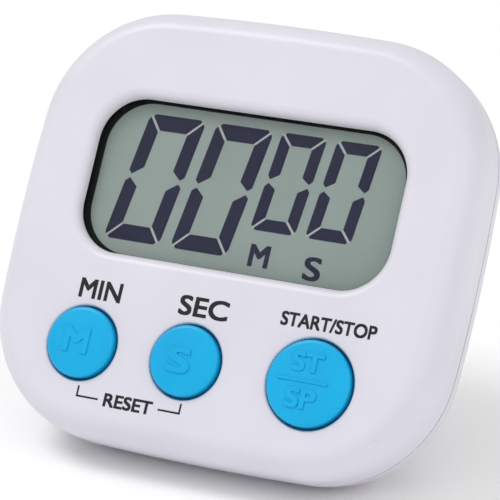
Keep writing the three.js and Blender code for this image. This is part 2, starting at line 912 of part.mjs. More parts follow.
add(
  "lcd_front_glass",
  plate(
    roundedRect(glassWidth, ledgeBottom, glassTop, 0.4, 2),
    glassFront,
    glassFront + glassThickness,
  ),
  "glass",
);
add(
  "lcd_rear_glass",
  plate(roundedRect(glassWidth, glassBottom, glassTop, 0.4, 2), rearGlassFront, rearGlassBack),
  "glass",
);
add("lcd_pad", displayPad(), "foam");
add("zebra_connector", zebraStrip(), "silicone");
add("circuit_board", circuitBoard(), "board");
add("chip_blob", chipBlob(), "epoxy");
add("crystal", crystal(), "steel");
add("capacitor", capacitor(), "cell");
add("transistor", transistor(), "epoxy");
add("resistor_1", resistor(-3.2), "resistor");
add("resistor_2", resistor(-6.2), "resistor");

add(
  "sounder_plate",
  rod(0, sounderHeight, sounderRadius, sounderBack - brassThickness, sounderBack, 32),
  "brass",
);
add(
  "sounder_ceramic",
  rod(0, sounderHeight, ceramicRadius, sounderFront, sounderFront + ceramicThickness, 28),
  "ceramic",
);
add("sounder_lead_red", sounderLead(leadSpread), "redWire");
add("sounder_lead_black", sounderLead(-leadSpread), "blackWire");

add(
  "magnet",
  rod(
    0,
    magnetHeight,
    magnetRadius,
    bodyDepth + magnetProud - magnetThickness,
    bodyDepth + magnetProud,
    28,
  ),
  "ferrite",
);
add("battery", cell(), "cell");
add("contact_spring", contactSpring(), "steel");
add("contact_plate_minus", contactPlate(springSeat - contactThickness), "steel");
add("contact_plate_plus", contactPlate(cellRight + plateRoom), "steel");

caseScrews.forEach(([x, z], i) => add(`case_screw_${i + 1}`, caseScrewSolid(x, z), "steel"));
boardScrews.forEach(([x, z], i) => {
  const { head, headHeight, shank, length } = boardScrew;
  const solid = screw(x, z, head, headHeight, shank, length, boardBack + slideGap);
  add(`board_screw_${i + 1}`, solid, "steel");
});

// Lean the timer back onto its stand, and put the middle of its footprint on the origin
timer.rotation.x = -lean;
timer.position.z = floorDrop;
timer.updateMatrixWorld(true);
const footprint = new THREE.Box3().setFromObject(timer, true);
timer.position.y = -(footprint.min.y + footprint.max.y) / 2;

export default timer;
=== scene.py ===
import json
import math

import bmesh
import bpy
from mathutils import Matrix, Vector


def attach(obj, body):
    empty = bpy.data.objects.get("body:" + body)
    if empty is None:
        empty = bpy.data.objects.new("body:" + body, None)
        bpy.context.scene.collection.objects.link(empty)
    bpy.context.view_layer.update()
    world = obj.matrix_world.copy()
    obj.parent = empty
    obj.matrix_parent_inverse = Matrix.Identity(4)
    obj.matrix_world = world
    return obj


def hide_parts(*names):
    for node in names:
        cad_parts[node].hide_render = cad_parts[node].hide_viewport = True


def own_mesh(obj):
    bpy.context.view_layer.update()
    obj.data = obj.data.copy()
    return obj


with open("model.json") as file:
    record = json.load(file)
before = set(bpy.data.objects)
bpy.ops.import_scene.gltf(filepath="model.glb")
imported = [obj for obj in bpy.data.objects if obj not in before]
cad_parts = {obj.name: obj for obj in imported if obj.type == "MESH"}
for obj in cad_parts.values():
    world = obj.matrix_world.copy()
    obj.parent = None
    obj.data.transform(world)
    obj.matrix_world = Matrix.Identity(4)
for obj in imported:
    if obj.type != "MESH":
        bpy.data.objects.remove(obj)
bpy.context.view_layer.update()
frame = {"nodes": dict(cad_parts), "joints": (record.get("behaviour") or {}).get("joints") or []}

mm = 0.001
quarter = math.pi / 2
axisRadius = 0.02  # a turned profile starts and ends this close to its axis
through = 3  # cuts run this far past the surface that they open
far = 99  # further than any part of the timer reaches
joints = {joint["name"]: joint for joint in frame["joints"]}

# Everything is drawn upright in millimetres: x to the right along the face, y backwards from
# the face plane and z up. It is then leaned back with the case. The lean and the place come
# from the frame: the buttons press straight into the face, and the stand's hinge has a known
# place on the case.
case = {
    "halfWidth": 31.75,
    "halfHeight": 29.35,
    "depth": 18,
    "sideBow": 260,  # radius of the bowed sides
    "endBow": 390,  # and of the bowed top and bottom
    "corner": 17.2,
    "faceInset": 3.3,  # the rounded front edge takes this off the face all round
    "faceRound": 4.85,  # and reaches this far back
    "backStart": 8,
    "backInset": 8,
    "seam": 8.5,
    "gap": 0.3,
    "slideGap": 0.2,
    "wall": 1.5,
    "lipHeight": 1.2,
    "lipThickness": 0.9,
}
hinge = {"y": 16.2, "z": 5}
press = Vector(joints["minute_press"]["axis"])
lean = math.atan2(-press.z, press.y)
openAngle = math.radians(-joints["stand_hinge"]["range_deg"][0])
toWorld = (
    Matrix.Translation(Vector(joints["stand_hinge"]["pos_m"]))
    @ Matrix.Rotation(-lean, 4, "X")
    @ Matrix.Scale(mm, 4)
    @ Matrix.Translation((0, -hinge["y"], -hinge["z"]))
)
toUpright = toWorld.inverted()
backLength = case["depth"] - case["backStart"]


def uprightBox(name):
    points = [toUpright @ vertex.co for vertex in frame["nodes"][name].data.vertices]
    low = Vector([min(point[i] for point in points) for i in range(3)])
    high = Vector([max(point[i] for point in points) for i in range(3)])
    return low, high


# Outlines: lists of (x, z), counterclockwise as seen from the front

def arc(x, z, radius, start, end, steps):
    angles = [start + (end - start) * i / steps for i in range(steps)]
    return [(x + radius * math.cos(a), z + radius * math.sin(a)) for a in angles]


def circle(x, z, radius, steps=64):
    return arc(x, z, radius, 0, math.tau, steps)


def roundedRect(width, bottom, top, radius, steps=10, x=0):
    reach = width / 2 - radius
    centres = [
        (x + reach, top - radius),
        (x - reach, top - radius),
        (x - reach, bottom + radius),
        (x + reach, bottom + radius),
    ]
    points = []
    for i, (cx, cz) in enumerate(centres):
        end = (i + 1) * quarter
        points += arc(cx, cz, radius, i * quarter, end, steps)
        points.append((cx + radius * math.cos(end), cz + radius * math.sin(end)))
    return points


def caseOutline(inset=0, cornerSteps=28, sideSteps=8):
    # Four wide arcs joined by corner arcs, whose centres lie where two circles cross
    side, end = case["halfWidth"] - case["sideBow"], case["halfHeight"] - case["endBow"]
    sideReach, endReach = case["sideBow"] - case["corner"], case["endBow"] - case["corner"]
    apart = math.hypot(side, end)
    along = (sideReach**2 - endReach**2 + apart**2) / (2 * apart)
    off = math.sqrt(sideReach**2 - along**2)
    cornerX = side - along * side / apart - off * end / apart
    cornerZ = along * end / apart - off * side / apart
    sideAngle = math.atan2(cornerZ, cornerX - side)
    endAngle = math.atan2(cornerZ - end, cornerX)
    right = arc(side, 0, case["sideBow"] - inset, 0, sideAngle, sideSteps)
    right += arc(cornerX, cornerZ, case["corner"] - inset, sideAngle, endAngle, cornerSteps)
    right += arc(0, end, case["endBow"] - inset, endAngle, quarter, sideSteps)
    right.append((0, case["halfHeight"] - inset))
    upper = right + [(-x, z) for x, z in reversed(right[:-1])]
    return upper + [(x, -z) for x, z in reversed(upper[1:-1])]


# Solids

def ringAt(outline, y):
    return [(x, y, z) for x, z in outline]


def meshPiece(name, points, faces, place=Matrix()):
    mesh = bpy.data.meshes.new(name)
    mesh.from_pydata([toWorld @ place @ Vector(point) for point in points], [], faces)
    mesh.update()
    piece = bpy.data.objects.new(name, mesh)
    bpy.context.scene.collection.objects.link(piece)
    return piece


def loft(rings, place=Matrix()):
    # A closed solid through rings with the same number of points, front to back
    count = len(rings[0])
    points = [point for ring in rings for point in ring]
    faces = [tuple(range(count))]
    for level in range(len(rings) - 1):
        start = level * count
        for i in range(count):
            j = (i + 1) % count
            faces.append((start + i, start + count + i, start + count + j, start + j))
    last = (len(rings) - 1) * count
    faces.append(tuple(last + i for i in reversed(range(count))))
    return meshPiece("solid", points, faces, place)


def prism(outline, front, back, place=Matrix()):
    return loft([ringAt(outline, front), ringAt(outline, back)], place)


def soft(outlineAt, front, back, frontEdge=0, backEdge=0, place=Matrix(), steps=5):
    # A plate whose edges are rounded in by a positive size, or flared out by a negative one
    rings = []
    for i in range(steps + 1):
        turn = i / steps * quarter
        reach = abs(frontEdge) * (1 - math.cos(turn))
        rings.append(ringAt(outlineAt(-frontEdge * (1 - math.sin(turn))), front + reach))
    for i in range(steps + 1):
        turn = i / steps * quarter
        reach = abs(backEdge) * (1 - math.sin(turn))
        rings.append(ringAt(outlineAt(-backEdge * (1 - math.cos(turn))), back - reach))
    if frontEdge < 0:
        rings.insert(0, ringAt(outlineAt(-frontEdge), front - through))
    if backEdge < 0:
        rings.append(ringAt(outlineAt(-backEdge), back + through))
    return loft(rings, place)


def box(x0, x1, y0, y1, z0, z1, place=Matrix()):
    return prism([(x1, z1), (x0, z1), (x0, z0), (x1, z0)], y0, y1, place)


def rod(x, z, radius, front, back, steps=48):
    return prism(circle(x, z, radius, steps), front, back)


def turned(x, z, profile, steps=64):
    # Profile of (radius, y), from front to back
    return loft([ringAt(circle(x, z, radius, steps), y) for radius, y in profile])


def turnedAlongX(y, z, profile, steps=48, place=Matrix()):
    # Profile of (radius, x), from left to right
    rings = [[(x, y - b, z + a) for a, b in circle(0, 0, r, steps)] for r, x in profile]
    return loft(rings, place)


def rodAlongX(y, z, radius, left, right, steps=48, place=Matrix()):
    return turnedAlongX(y, z, [(radius, left), (radius, right)], steps, place)


def pillow(inset, front, back, roundLength, roundInset, atFront, steps):
    # The case's outline from front to back, with one end rounded like the case's
    rings = []
    for i in range(steps + 1):
        turn = i / steps * quarter
        outline = caseOutline(inset + roundInset * (1 - math.sin(turn)))
        reach = roundLength * (1 - math.cos(turn))
        rings.append(ringAt(outline, front + reach if atFront else back - reach))
    rings.append(ringAt(caseOutline(inset), back if atFront else front))
    return loft(rings if atFront else rings[::-1])


def combine(base, how, tools):
    # Joins or cuts with each tool in turn, and throws the tools away
    for tool in tools:
        change = base.modifiers.new("change", "BOOLEAN")
        change.operation = how
        change.solver = "MANIFOLD"
        change.object = tool
        graph = bpy.context.evaluated_depsgraph_get()
        made = bpy.data.meshes.new_from_object(base.evaluated_get(graph))
        base.modifiers.clear()
        base.data = made
        bpy.data.objects.remove(tool)
    return base


def join(base, *tools):
    return combine(base, "UNION", tools)


def cut(base, *tools):
    return combine(base, "DIFFERENCE", tools)


def common(base, *tools):
    return combine(base, "INTERSECT", tools)


def belowTable():
    under = [(-far, -far, -far), (far, -far, -far), (far, far, -far), (-far, far, -far)]
    top = [(x, y, 0) for x, y, z in under]
    sides = [(i, (i + 1) % 4, (i + 1) % 4 + 4, i + 4) for i in range(4)]
    faces = [(3, 2, 1, 0), (4, 5, 6, 7), *sides]
    return meshPiece("table", under + top, faces, toUpright @ Matrix.Scale(mm, 4))


def swung(angle):
    # Turns about the stand's hinge; a positive angle swings the stand out
    there = Vector((0, hinge["y"], hinge["z"]))
    return Matrix.Translation(there) @ Matrix.Rotation(angle, 4, "X") @ Matrix.Translation(-there)


# Materials

def hexColour(code):
    channels = [int(code[i : i + 2], 16) / 255 for i in (1, 3, 5)]
    linear = [c / 12.92 if c <= 0.04045 else ((c + 0.055) / 1.055) ** 2.4 for c in channels]
    return (*linear, 1)


def addNode(tree, kind, settings=None, values=None, links=None):
    node = tree.nodes.new(kind)
    for key, value in (settings or {}).items():
        setattr(node, key, value)
    for key, value in (values or {}).items():
        node.inputs[key].default_value = value
    for key, source in (links or {}).items():
        tree.links.new(source, node.inputs[key])
    return node


def surface(name, look):
    # Cloudy colour between two shades, and a fine grain that shows in gloss and relief. With
    # "pull" the grain is drawn out along x, as rolled or brushed metal is.
    material = bpy.data.materials.new(name)
    material.use_nodes = True
    tree = material.node_tree
    tree.nodes.clear()
    place = addNode(tree, "ShaderNodeTexCoord").outputs["Object"]
    pulled = addNode(
        tree,
        "ShaderNodeMapping",
        values={"Scale": (1 / look.get("pull", 1), 1, 1)},
        links={"Vector": place},
    ).outputs["Vector"]
    cloud = addNode(
        tree,
        "ShaderNodeTexNoise",
        values={"Scale": 1 / (look["cloudMm"] * mm), "Detail": 3},
        links={"Vector": place},
    ).outputs["Fac"]
    grain = addNode(
        tree,
        "ShaderNodeTexNoise",
        values={"Scale": 1 / (look["grainMm"] * mm), "Detail": 4, "Roughness": 0.6},
        links={"Vector": pulled},
    ).outputs["Fac"]
    shade = addNode(
        tree,
        "ShaderNodeMapRange",
        values={"From Min": 0.35, "From Max": 0.65},
        links={"Value": cloud},
    ).outputs["Result"]
    colour = addNode(
        tree,
        "ShaderNodeMix",
        {"data_type": "RGBA"},
        {6: hexColour(look["dark"]), 7: hexColour(look["light"])},
        {0: shade},
    ).outputs[2]
    low, high = look["roughness"]
    gloss = addNode(
        tree,
        "ShaderNodeMapRange",
        values={"From Min": 0.3, "From Max": 0.7, "To Min": low, "To Max": high},
        links={"Value": grain},
    ).outputs["Result"]
    relief = addNode(
        tree,
        "ShaderNodeBump",
        values={"Strength": look.get("bump", 0.3), "Distance": look["grainDeepMm"] * mm},
        links={"Height": grain},
    ).outputs["Normal"]
    shader = addNode(
        tree,
        "ShaderNodeBsdfPrincipled",
        values={"Metallic": look.get("metallic", 0), **look.get("shader", {})},
        links={"Base Color": colour, "Roughness": gloss, "Normal": relief},
    ).outputs["BSDF"]
    addNode(tree, "ShaderNodeOutputMaterial", links={"Surface": shader})
    return material


# Injection-moulded ABS from a fine satin mould: a soft broad sheen and a barely seen grain
caseAbs = surface("moulded_abs_case", {
    "dark": "#D2D0DA", "light": "#D6D4DE", "cloudMm": 14, "grainMm": 0.25,
    "grainDeepMm": 0.006, "roughness": (0.34, 0.46), "shader": {"IOR": 1.54},
})
# The same plastic, coloured right through and from a smoother mould, so it shines a little more
capAbs = surface("moulded_abs_cap", {
    "dark": "#00A4D9", "light": "#00A9DE", "cloudMm": 6, "grainMm": 0.2,
    "grainDeepMm": 0.005, "roughness": (0.28, 0.38), "shader": {"Specular IOR Level": 0.3},
})
# Polarising film on the display glass: grey-green, faintly silky, with a thin gloss
displayFilm = surface("polarising_film", {
    "dark": "#909F9A", "light": "#95A49F", "cloudMm": 9, "grainMm": 0.15,
    "grainDeepMm": 0.002, "roughness": (0.3, 0.38), "shader": {"IOR": 1.49},
})
# Driven liquid crystal: a flat blue-black inside the film, with hardly any gloss of its own
segmentDark = surface("lcd_segment_on", {
    "dark": "#292A41", "light": "#2D2E45", "cloudMm": 5, "grainMm": 0.15,
    "grainDeepMm": 0.001, "roughness": (0.3, 0.38), "shader": {"Specular IOR Level": 0.15},
})
# Undriven gap between two segments: paler than the film round it
segmentPale = surface("lcd_segment_gap", {
    "dark": "#ACB4B4", "light": "#B0B8B8", "cloudMm": 5, "grainMm": 0.15,
    "grainDeepMm": 0.001, "roughness": (0.3, 0.38), "shader": {"IOR": 1.49},
})
# Painted shade: a dense black sheet on the film's border, standing in for the shadow inside the
# window's recess
recessShadeInk = surface("painted_recess_shade", {
    "dark": "#0B0B0C", "light": "#111113", "cloudMm": 4, "grainMm": 0.15,
    "grainDeepMm": 0.002, "roughness": (0.5, 0.7), "shader": {"Specular IOR Level": 0.15},
})
# Pad-printed ink: near black, thin and matt
printInk = surface("pad_print_ink", {
    "dark": "#1B1B1E", "light": "#232327", "cloudMm": 2, "grainMm": 0.12,
    "grainDeepMm": 0.004, "roughness": (0.5, 0.65), "shader": {"Specular IOR Level": 0.25},
})
# Sintered and ground ferrite: charcoal grey with a coarse, slightly metallic bloom
ferrite = surface("ground_ferrite", {
    "dark": "#2E2F33", "light": "#45464B", "cloudMm": 1.6, "grainMm": 0.15,
    "grainDeepMm": 0.012, "roughness": (0.45, 0.7), "metallic": 0.3,
})
# Nickel-plated steel, drawn or stamped: bright with fine streaks along the draw
steel = surface("nickel_plated_steel", {
    "dark": "#B4B6BB", "light": "#C9CBCF", "cloudMm": 3, "grainMm": 0.12,
    "grainDeepMm": 0.004, "roughness": (0.2, 0.36), "metallic": 1, "pull": 6,
})
# Shrink sleeve round the cell: printed film with a wet gloss
cellSleeve = surface("shrink_sleeve", {
    "dark": "#244E86", "light": "#2B5A97", "cloudMm": 5, "grainMm": 0.4,
    "grainDeepMm": 0.004, "roughness": (0.18, 0.3), "metallic": 0.3,
})
# Silicone rubber, compression moulded: milky and softly matt
silicone = surface("moulded_silicone", {
    "dark": "#B2B5B9", "light": "#BEC1C5", "cloudMm": 3, "grainMm": 0.15,
    "grainDeepMm": 0.005, "roughness": (0.5, 0.65),
})
# Carbon-loaded silicone: dull black
carbon = surface("carbon_silicone", {
    "dark": "#151517", "light": "#1E1E21", "cloudMm": 1.2, "grainMm": 0.1,
    "grainDeepMm": 0.005, "roughness": (0.6, 0.8),
})
# Solder resist over glass laminate: green, glossy, with the weave just lifting it
solderResist = surface("solder_resist_laminate", {
    "dark": "#195A31", "light": "#21713F", "cloudMm": 1.1, "grainMm": 0.5,
    "grainDeepMm": 0.01, "roughness": (0.25, 0.4),
})
# Cast epoxy and moulded epoxy packages: black, with a slumped gloss
epoxy = surface("cast_epoxy", {
    "dark": "#0E0E10", "light": "#17171A", "cloudMm": 2, "grainMm": 0.3,
    "grainDeepMm": 0.006, "roughness": (0.2, 0.4),
})
# Rolled brass sheet: yellow with rolling lines
brass = surface("rolled_brass", {
    "dark": "#BF9746", "light": "#D0AC5E", "cloudMm": 3, "grainMm": 0.15,
    "grainDeepMm": 0.004, "roughness": (0.26, 0.4), "metallic": 1, "pull": 8,
})
# Fired piezo ceramic with its silvered face: chalky off-white
ceramic = surface("fired_ceramic", {
    "dark": "#DAD6CA", "light": "#E8E4DA", "cloudMm": 1.5, "grainMm": 0.1,
    "grainDeepMm": 0.005, "roughness": (0.5, 0.7),
})
# Open-cell foam tape: dark and pitted
foam = surface("cut_foam", {
    "dark": "#28282A", "light": "#404043", "cloudMm": 0.6, "grainMm": 0.25,
    "grainDeepMm": 0.06, "roughness": (0.85, 1), "bump": 0.8,
})
# Dipped resistor body: tan lacquer
lacquer = surface("dipped_lacquer", {
    "dark": "#BFA067", "light": "#CFB57F", "cloudMm": 1, "grainMm": 0.15,
    "grainDeepMm": 0.006, "roughness": (0.35, 0.5),
})
# PVC insulation: plain colour, soft shine
redPvc = surface("red_pvc", {
    "dark": "#A31C1C", "light": "#B52626", "cloudMm": 1, "grainMm": 0.15,
    "grainDeepMm": 0.003, "roughness": (0.35, 0.5),
})
blackPvc = surface("black_pvc", {
    "dark": "#141416", "light": "#1E1E20", "cloudMm": 1, "grainMm": 0.15,
    "grainDeepMm": 0.003, "roughness": (0.35, 0.5),
})
# Clear soda-lime glass: almost nothing but a hard gloss and a trace of grey
lcdGlass = surface("soda_lime_glass", {
    "dark": "#303432", "light": "#383C3A", "cloudMm": 8, "grainMm": 0.5,
    "grainDeepMm": 0.001, "roughness": (0.04, 0.08), "shader": {"IOR": 1.45, "Alpha": 0.06},
})

carriedOver = {
    "lcd_pad": foam,
    "zebra_connector": silicone,
    "circuit_board": solderResist,
    "chip_blob": epoxy,
    "crystal": steel,
    "capacitor": cellSleeve,
    "transistor": epoxy,
    "resistor_1": lacquer,
    "resistor_2": lacquer,
    "sounder_plate": brass,
    "sounder_ceramic": ceramic,
    "sounder_lead_red": redPvc,
    "sounder_lead_black": blackPvc,
    "contact_spring": steel,
    "contact_plate_minus": steel,
    "contact_plate_plus": steel,
    "stand_pin": steel,
}
for buttonName in ("minute", "second", "start"):
    carriedOver[buttonName + "_contact_pill"] = carbon
for i in range(1, 5):
    carriedOver[f"board_screw_{i}"] = steel
for name, material in carriedOver.items():
    frame["nodes"][name].data.materials.clear()
    frame["nodes"][name].data.materials.append(material)
print("materials made")


def finish(piece, name, body, material, nodes=(), sharp=35):
    # Names a solid, gives it its finish and shading, and hands it to its body
    piece.name = name
    piece.data.name = name
    piece.data.materials.clear()
    piece.data.materials.append(material)
    for polygon in piece.data.polygons:
        polygon.use_smooth = True
    piece.data.set_sharp_from_angle(angle=math.radians(sharp))
    weighted = piece.modifiers.new("weighted", "WEIGHTED_NORMAL")
    weighted.keep_sharp = True
    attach(piece, body)
    if nodes:
        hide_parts(*nodes)
    return piece


# Front cover

window = {"width": 43.9, "height": 21.1, "centre": 5.87, "corner": 6.2, "edge": 1.3}
rim = {"thickness": 1, "corner": 0.6}
holes = {"edge": 0.3, "flange": 0.8}
screws = {
    "boss": 2.3,
    "bossShort": 1,  # from the boss's end to the seam
    "post": 3.1,
    "pilot": 1.1,
    "seat": 11.4,
    "shank": 0.95,
    "core": 0.75,  # share of the shank left between threads
    "pitch": 0.7,
    "tip": [(0.05, 0), (0.4, 0.25), (0.7125, 0.9)],
    "tipLength": 1,
    "neck": 1,  # plain length under the head
    "headEdge": 0.45,  # height of the head's straight side
    "slotFloor": 0.6,  # from the seat to the bottom of the cross
    "arm": 0.6,  # the cross's half length and half width, as shares of the head
    "slot": 0.15,
}
boardScrews = {"places": [(-9.2, -22.3), (6.3, -22.3), (-12, 20.8), (12, 20.8)]}
boardScrews.update({"boss": 1.6, "pilot": 0.75})
glassLow, glassHigh = uprightBox("lcd_front_glass")
boardFront = uprightBox("circuit_board")[0].y
rearGlassBack = uprightBox("lcd_rear_glass")[1].y
screwPlaces = []
for i in range(1, 5):
    low, high = uprightBox(f"case_screw_{i}")
    screwPlaces.append(((low.x + high.x) / 2, (low.z + high.z) / 2))
buttonNames = ("minute", "second", "start")


def windowOutline(grow):
    half = window["height"] / 2 + grow
    middle = window["centre"]
    corner = window["corner"] + grow
    return roundedRect(window["width"] + 2 * grow, middle - half, middle + half, corner, 16)


def buttonPlace(name):
    low, high = uprightBox(name + "_button")
    radius = (high.x - low.x) / 2 - holes["flange"]
    return (low.x + high.x) / 2, (low.z + high.z) / 2, radius


def frontCover():
    wall, slideGap = case["wall"], case["slideGap"]
    seam = case["seam"] - case["gap"] / 2
    deep = case["depth"]
    share = (case["faceRound"] - wall) / case["faceRound"]
    cover = pillow(0, 0, seam, case["faceRound"], case["faceInset"], True, 16)
    inside = pillow(wall, wall, deep, case["faceRound"] - wall, case["faceInset"] * share, True, 8)
    cut(cover, inside)

    def rimOutline(grow):
        width = glassHigh.x - glassLow.x + 2 * case["gap"] + 2 * grow
        bottom, top = glassLow.z - case["gap"] - grow, glassHigh.z + case["gap"] + grow
        return roundedRect(width, bottom, top, rim["corner"] + grow)

    frameRim = cut(
        prism(rimOutline(rim["thickness"]), wall / 2, rearGlassBack),
        prism(rimOutline(0), wall / 3, deep),
    )
    for name in buttonNames:
        x, z, radius = buttonPlace(name)
        cut(frameRim, rod(x, z, radius + holes["flange"] + slideGap, wall, boardFront))
    join(cover, frameRim)
    for x, z in screwPlaces:
        boss = cut(
            rod(x, z, screws["boss"], wall / 2, case["seam"] - screws["bossShort"]),
            rod(x, z, screws["pilot"], wall, deep),
        )
        join(cover, boss)
    for x, z in boardScrews["places"]:
        boss = cut(
            rod(x, z, boardScrews["boss"], wall / 2, boardFront - slideGap),
            rod(x, z, boardScrews["pilot"], wall, deep),
        )
        join(cover, boss)
    cut(cover, soft(windowOutline, 0, deep / 2, -window["edge"], steps=8))
    for name in buttonNames:
        x, z, radius = buttonPlace(name)
        outline = lambda grow: circle(x, z, radius + grow, 96)
        cut(cover, soft(outline, 0, wall + through, -holes["edge"]))
    return finish(cover, "frontCover", "case", caseAbs, ["front_cover"])


frontCover()
print("front cover made")


# Rear cover, with the battery bay, the stand's recess and the magnet's pocket

cellLow, cellHigh = uprightBox("battery")
bay = {
    "y": (cellLow.y + cellHigh.y) / 2,
    "z": (cellLow.z + cellHigh.z) / 2,
    "radius": (cellHigh.z - cellLow.z) / 2 + case["slideGap"],
    "wall": 0.85,
    "end": 1,  # solid left beyond each contact's pocket
    "contact": 8,
    "contactThickness": 0.4,
    "tail": 2.2,
}
doorLow, doorHigh = uprightBox("battery_door")
door = {
    "thickness": 1,
    "lip": 1.8,
    "lipWidth": 0.95,
    "beyond": 5,  # how far its form runs past the back
    "cutBeyond": 9,  # and how far what hollows the lip does
}
stand = {
    "width": 30,
    "rail": 3.6,
    "thickness": 2.8,
    "barrel": 1.55,
    "barrelEdge": 0.3,
    "bore": 0.87,
    "boreBeyond": 1,  # how far the cut for the bore runs past each side
    "end": -22.6,
    "corner": 1.2,
    "edge": 0.55,
    "heel": 0.7,
    "heelReach": 1.85,
    "heelShort": 1,  # the heel stops this far from the stand's sides
    "pinGrip": 1.6,
}
# Dent for a fingernail below the stand's free end. Each end narrows in two steps, given as a
# share of the radius and a length.
scoop = {"radius": 3.4, "back": 1.6, "half": 5, "ends": [(0.7, 1), (0.93, 0.5)]}
recess = {"gap": 0.4, "toeRoom": 0.8, "edge": 0.35, "corner": 0.6, "island": 1, "cheek": 1}
recessFloor = hinge["y"] - stand["barrel"] - recess["gap"]
recessTop = hinge["z"] + stand["heelReach"] + case["slideGap"]
recessBottom = stand["end"] - recess["toeRoom"]
sound = {"hole": 0.75, "ring": 2.7, "z": -13.4, "edge": 0.2}
magnet = {"edge": 0.3, "pocketEdge": 0.25}
magnetLow, magnetHigh = uprightBox("magnet")


def caseInsetAt(y):
    share = (y - case["backStart"]) / backLength
    return case["backInset"] * (1 - math.sqrt(1 - share * share))


def backForm(front):
    form = pillow(0, -through, case["depth"], backLength, case["backInset"], False, 22)
    return cut(form, box(-far, far, -far, front, -far, far))


def doorForm(extra):
    # A slice of the back whose top edge wraps forwards
    half = doorHigh.x + extra
    depth, front = case["depth"], case["depth"] - door["thickness"]
    inset = caseInsetAt(front) + door["lipWidth"] + extra
    bottom, outside = doorLow.z - extra, depth + door["beyond"]
    lip = cut(
        box(-half, half, front - door["lip"] - extra, outside, bottom, far),
        prism(caseOutline(inset), 0, depth + door["cutBeyond"]),
    )
    return join(box(-half, half, front - extra, outside, bottom, far), lip)


def rearCover():
    wall, slideGap, gap, depth = case["wall"], case["slideGap"], case["gap"], case["depth"]
    front = case["seam"] + gap / 2
    inner = backLength - wall
    innerInset = case["backInset"] * inner / backLength
    cover = backForm(front)
    cut(cover, pillow(wall, -far, depth - wall, inner, innerInset, False, 12))

    across = bay["radius"] + bay["wall"]
    left = uprightBox("contact_plate_minus")[0].x - slideGap
    right = uprightBox("contact_plate_plus")[1].x + slideGap

    def trough(radius, x0, x1, back):
        return join(
            rodAlongX(bay["y"], bay["z"], radius, x0, x1, 64),
            box(x0, x1, bay["y"], back, bay["z"] - radius, bay["z"] + radius),
        )

    side = stand["width"] / 2 + recess["gap"] + stand["pinGrip"] + slideGap
    cheek = side + recess["cheek"]
    blockFront = recessFloor - wall
    backing = [
        trough(across, left - bay["end"], right + bay["end"], depth),
        box(-cheek, cheek, blockFront, depth, recessBottom - wall, recessTop + gap),
    ]
    backing += [rod(x, z, screws["post"], front, depth) for x, z in screwPlaces]
    for solid in backing:
        join(cover, common(solid, backForm(front)))
    lipRoot = 1 - (slideGap + case["lipThickness"] / 2) / innerInset
    lip = cut(
        prism(
            caseOutline(wall + slideGap),
            case["seam"] - case["lipHeight"],
            case["backStart"] + inner * math.sqrt(1 - lipRoot**2),
        ),
        prism(caseOutline(wall + slideGap + case["lipThickness"]), 0, depth),
        *[rod(x, z, screws["boss"] + gap, 0, case["seam"]) for x, z in screwPlaces],
    )
    join(cover, lip)

    # The battery's trough, its contacts' pockets and the slots for their tails
    half = bay["contact"] / 2 + slideGap
    tail = bay["tail"] / 2 + slideGap
    cut(
        cover,
        trough(bay["radius"], cellLow.x - slideGap, cellHigh.x + slideGap, depth + through),
        box(left, right, bay["y"] - half, bay["y"] + half, bay["z"] - half, bay["z"] + half),
    )
    slot = bay["contactThickness"] + 2 * slideGap
    ahead = bay["y"] - across - through
    for x in (left, right - slot):
        cut(cover, box(x, x + slot, ahead, bay["y"], bay["z"] - tail, bay["z"] + tail))

    # The stand's recess runs round an island, with a scoop for a fingernail
    def recessOutline(grow):
        width = stand["width"] + 2 * recess["gap"] + 2 * grow
        return roundedRect(width, recessBottom - grow, recessTop + grow, recess["corner"] + grow, 8)

    def islandOutline(grow):
        width = stand["width"] - 2 * stand["rail"] - 2 * recess["gap"] + 2 * grow
        bottom = stand["end"] + stand["rail"] + recess["gap"] - grow
        top = hinge["z"] - stand["barrel"] - recess["gap"] + grow
        return roundedRect(width, bottom, top, recess["island"] + grow, 8)

    ring = soft(recessOutline, recessFloor, depth, 0, -recess["edge"])
    island = soft(islandOutline, 0, depth, 0, recess["edge"])
    cut(cover, cut(ring, island))
    radius, reach = scoop["radius"], scoop["half"]
    end = [(radius * share, reach + out) for share, out in scoop["ends"]]
    profile = [(r, -x) for r, x in end] + [(radius, -reach), (radius, reach)] + end[::-1]
    dent = turnedAlongX(depth + scoop["back"], recessBottom, profile, 64)
    cut(cover, dent, rodAlongX(hinge["y"], hinge["z"], stand["bore"], -side, side, 32))

    # Magnet pocket, sound holes, screw holes, the door's seat and the flat it stands on
    magnetRadius = (magnetHigh.x - magnetLow.x) / 2 + slideGap
    magnetZ = (magnetLow.z + magnetHigh.z) / 2
    pocket = lambda grow: circle(0, magnetZ, magnetRadius + grow, 80)
    cut(cover, soft(pocket, magnetLow.y - case["gap"], depth, 0, -magnet["pocketEdge"]))
    spots = [(0, sound["z"])]
    spots += circle(0, sound["z"], sound["ring"], 6)
    for x, z in spots:
        hole = lambda grow: circle(x, z, sound["hole"] + grow, 32)
        cut(cover, soft(hole, blockFront - through, depth, 0, -sound["edge"]))
    for i, (x, z) in enumerate(screwPlaces):
        low, high = uprightBox(f"case_screw_{i + 1}")
        head = (high.x - low.x) / 2 + slideGap
        cut(cover, rod(x, z, screws["pilot"], 0, depth))
        cut(cover, rod(x, z, head, screws["seat"] - slideGap, depth + through))
    cut(cover, doorForm(slideGap), belowTable())
    return finish(cover, "rearCover", "case", caseAbs, ["rear_cover"], sharp=30)


rearCover()
print("rear cover made")


# Battery door, with grip ridges and an arrow

grip = {
    "ridges": 6,
    "pitch": 1.5,
    "first": 10.2,
    "half": 6.5,
    "radius": 0.55,
    "proud": 0.28,
    "ends": [(0.2, 0.45), (0.42, 0.3)],  # radius, and distance past the ridge's full part
    "arrow": [(0, 21), (-1.6, 19.3), (1.6, 19.3)],
    "arrowDeep": 0.3,
}


